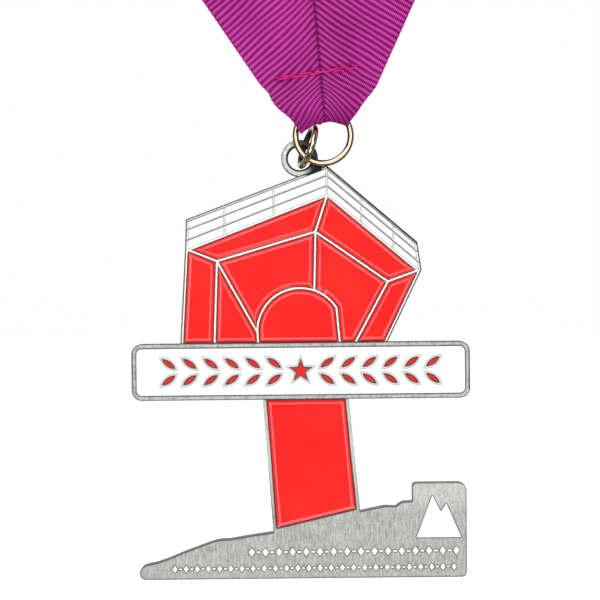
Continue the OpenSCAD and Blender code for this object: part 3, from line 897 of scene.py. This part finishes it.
def tail():
    """The end that passes under the large ring and is sewn up behind, as a ribbed closed strip."""
    knots = np.array(FOLD)
    steps = np.concatenate([[0], np.cumsum(np.hypot(np.diff(knots[:, 0]), np.diff(knots[:, 1])))])
    path = np.linspace(0, steps[-1], int(steps[-1] / FOLD_STEP))
    dense = np.stack([np.interp(path, steps, knots[:, k]) for k in range(3)], 1)
    # rounds the corners of the path
    kernel = np.hanning(9)
    kernel /= kernel.sum()
    padded = np.pad(dense, ((4, 4), (0, 0)), "edge")
    dense = np.stack([np.convolve(padded[:, k], kernel, "valid") for k in range(3)], 1)
    k = np.linspace(-1, 1, TAIL_COLS + 1)
    q, x = path[:, None] + 0 * k, dense[:, 2, None] * k
    mid = np.stack([FOLD_MID + x, dense[:, 0, None] + 0 * k, dense[:, 1, None] + 0 * k], 2).reshape(-1, 3)
    m = TAIL_COLS + 1
    corners = [i * m + j for i in range(len(path) - 1) for j in range(TAIL_COLS)]
    faces = [[c, c + 1, c + m + 1, c + m] for c in corners]
    lean = (q * math.cos(V_HALF) + np.abs(x) * math.sin(V_HALF)).ravel()
    rib = rib_profile(lean, x.ravel())
    points, out = thick_sheet(mid, faces, THICK / 2 + RIB_HEIGHT / 2 * (rib - 0.4))
    # painted shade in the grooves and along the strip's middle
    shade = rib * np.clip(np.abs(x.ravel()) / 0.6, 0.4, 1)
    return from_tip(points), out, np.tile(shade, 2), np.tile(x.ravel(), 2)


def neck_ribbon():
    """Both legs and the folded end as one piece, welded at the nape."""
    points, faces, ribs, across = [], [], [], []
    start = 0
    for part_points, part_faces, part_ribs, part_across in (leg(-1), leg(1), tail()):
        points.append(part_points)
        faces += [[i + start for i in face] for face in part_faces]
        ribs.append(part_ribs)
        across.append(part_across)
        start += len(part_points)
    piece = new_piece("neck_ribbon_cloth", np.concatenate(points), faces, CLOTH, "ribbon")
    # rib carries the rib profile with painted shade in the grooves, seam, needle dents and by the hem
    point_values(piece, "rib", np.concatenate(ribs))
    point_values(piece, "across", np.concatenate(across))
    # the legs' upper ends meet at x = 0, in the top of the loop
    weld = bmesh.new()
    weld.from_mesh(piece.data)
    at_nape = [v for v in weld.verts if abs(v.co.x) < 0.0005 and v.co.z > -0.03]
    bmesh.ops.remove_doubles(weld, verts=at_nape, dist=2e-5)
    weld.to_mesh(piece.data)
    weld.free()
    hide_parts("neck_ribbon")


neck_ribbon()


PLIES = 2
PLY_TURNS = 17  # from one end of a strand to the other
STRAND_STEPS = 150
STRAND_SIDES = 8
BACK = Vector((0, 1, 0))


def strand(name, start, end, radius, phase, dips):
    """One ply-twisted sewing thread laid over the ribs, dipping into the cloth where it is stitched."""
    start, end = Vector(start), Vector(end)
    axis = (end - start).normalized()
    side = axis.cross(BACK).normalized()
    points, ply_shade, faces = [], [], []
    for ply in range(PLIES):
        base = len(points)
        for i in range(STRAND_STEPS + 1):
            t = i / STRAND_STEPS
            centre = start + (end - start) * t
            ride = 0.10 * math.sin(t * 61 + phase) - 0.9 * max(0.0, max(1 - abs(t - d) * 22 for d in dips))
            sway = 0.14 * math.sin(t * 9 + phase * 2)
            angle = t * 2 * math.pi * PLY_TURNS + ply * math.pi
            depth = Vector((0, -ride + radius * 0.55 * math.sin(angle), 0))
            centre = centre + side * (sway + radius * 0.55 * math.cos(angle)) + depth
            for k in range(STRAND_SIDES):
                a = 2 * math.pi * k / STRAND_SIDES
                points.append(centre + (side * math.cos(a) + BACK * math.sin(a)) * radius * 0.62)
                # painted shade: 0 on the side of the ply that faces back, 1 on the side that faces forward
                ply_shade.append(0.5 - 0.5 * math.sin(a))
        for i in range(STRAND_STEPS):
            for k in range(STRAND_SIDES):
                a = base + i * STRAND_SIDES + k
                b = base + i * STRAND_SIDES + (k + 1) % STRAND_SIDES
                faces.append((a, b, b + STRAND_SIDES, a + STRAND_SIDES))
        last = base + STRAND_STEPS * STRAND_SIDES
        faces.append(tuple(base + k for k in range(STRAND_SIDES - 1, -1, -1)))
        faces.append(tuple(last + k for k in range(STRAND_SIDES)))
    world = from_tip(np.array([p[:] for p in points]))
    piece = new_piece(name, world, faces, THREAD, "ribbon")
    point_values(piece, "ply_shade", ply_shade)
    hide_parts("bar_stitch")


def bar_stitch():
    """Two rows of thread; dips are the places, 0 to 1 along a row, where the needle went through."""
    upper, lower = -0.50, -0.50 - 0.12
    upper_dips = (0.0, 0.17, 0.36, 0.60, 0.76, 0.90, 1.0)
    lower_dips = (0.0, 0.06, 0.26, 0.47, 0.68, 0.84, 1.0)
    strand("bar_stitch_upper", (-10.6, upper, 26.9), (9.2, upper, 28.9), 0.20, 0.4, upper_dips)
    strand("bar_stitch_lower", (-10.8, lower, 27.7), (8.9, lower, 28.2), 0.18, 2.1, lower_dips)


bar_stitch()


# ---------------------------------------------------------------- floor and light
FLOOR_HALF = 3.0  # metres
FLOOR_GAP = 0.012  # metres under the lowest point


def make_floor():
    """A near-white floor that gives off a little light, hidden from glossy rays."""
    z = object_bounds()[0][2] - FLOOR_GAP
    corners = [(x * FLOOR_HALF, y * FLOOR_HALF, z) for x, y in ((-1, -1), (1, -1), (1, 1), (-1, 1))]
    mesh = bpy.data.meshes.new("floor")
    mesh.from_pydata(corners, [], [(0, 1, 2, 3)])
    floor = bpy.data.objects.new("floor", mesh)
    n = Nodes("floor")
    n.set(Base_Color=n.ramp(n.noise(n.coords(), 6, 2, 0.5), ((0.3, 0.90), (0.7, 0.93))), Roughness=0.9)
    n.set(Emission_Color=(1, 1, 1, 1), Emission_Strength=0.42)
    mesh.materials.append(n.mat)
    bpy.context.scene.collection.objects.link(floor)
    floor.visible_glossy = False


def area_light(name, place, target, size, power):
    """A rectangular lamp that looks at the target."""
    data = bpy.data.lights.new(name, "AREA")
    data.shape = "RECTANGLE"
    data.size, data.size_y = size
    data.energy = power
    lamp = bpy.data.objects.new(name, data)
    lamp.location = place
    lamp.rotation_euler = (Vector(place) - Vector(target)).to_track_quat("Z", "Y").to_euler()
    bpy.context.scene.collection.objects.link(lamp)
    return lamp


# what glossy rays meet, by direction: 0 is straight to -Y and 1 is straight to +Y
STUDIO = (
    (0.0, 0.02), (0.0149, 0.02), (0.0185, 1.0), (0.0545, 1.0), (0.067, 0.09), (0.11, 0.05), (0.15, 0.02),
    (0.30, 0.015), (0.36, 0.10), (0.46, 0.10), (0.52, 0.02), (0.62, 0.02), (0.80, 0.14), (1.0, 0.20))


def make_light():
    target = at(0, 0, 15)
    area_light("key", target + Vector((-0.30, -0.45, 0.65)), target, (0.6, 0.5), 2.0)
    fill = area_light("fill", target + Vector((0.45, -0.50, 0.30)), target, (0.5, 0.6), 1.5)
    fill.visible_glossy = False


def make_world():
    """White to the camera, dimmer to light the object, and the studio for glossy rays."""
    world = bpy.data.worlds.new("studio")
    bpy.context.scene.world = world
    world.use_nodes = True
    tree = world.node_tree
    tree.nodes.clear()

    def add(kind):
        return tree.nodes.new("ShaderNode" + kind)

    def background(strength):
        node = add("Background")
        node.inputs["Color"].default_value = (1, 1, 1, 1)
        node.inputs["Strength"].default_value = strength
        return node

    def switch(ray, others, these):
        """The second shader for rays of this kind, the first for all others."""
        node = add("MixShader")
        tree.links.new(path.outputs[ray], node.inputs[0])
        tree.links.new(others.outputs[0], node.inputs[1])
        tree.links.new(these.outputs[0], node.inputs[2])
        return node

    path = add("LightPath")
    axes = add("SeparateXYZ")
    tree.links.new(add("TexCoord").outputs["Generated"], axes.inputs[0])
    turn = add("MapRange")
    turn.inputs["From Min"].default_value = -1
    turn.inputs["From Max"].default_value = 1
    tree.links.new(axes.outputs[1], turn.inputs["Value"])
    ramp = add("ValToRGB")
    fill_ramp(ramp, STUDIO)
    tree.links.new(turn.outputs[0], ramp.inputs[0])
    studio = background(4.5)
    tree.links.new(ramp.outputs[0], studio.inputs[0])
    seen = switch("Is Camera Ray", background(0.66), background(1.0))
    tree.links.new(switch("Is Glossy Ray", seen, studio).outputs[0], add("OutputWorld").inputs[0])


make_floor()
make_light()
make_world()
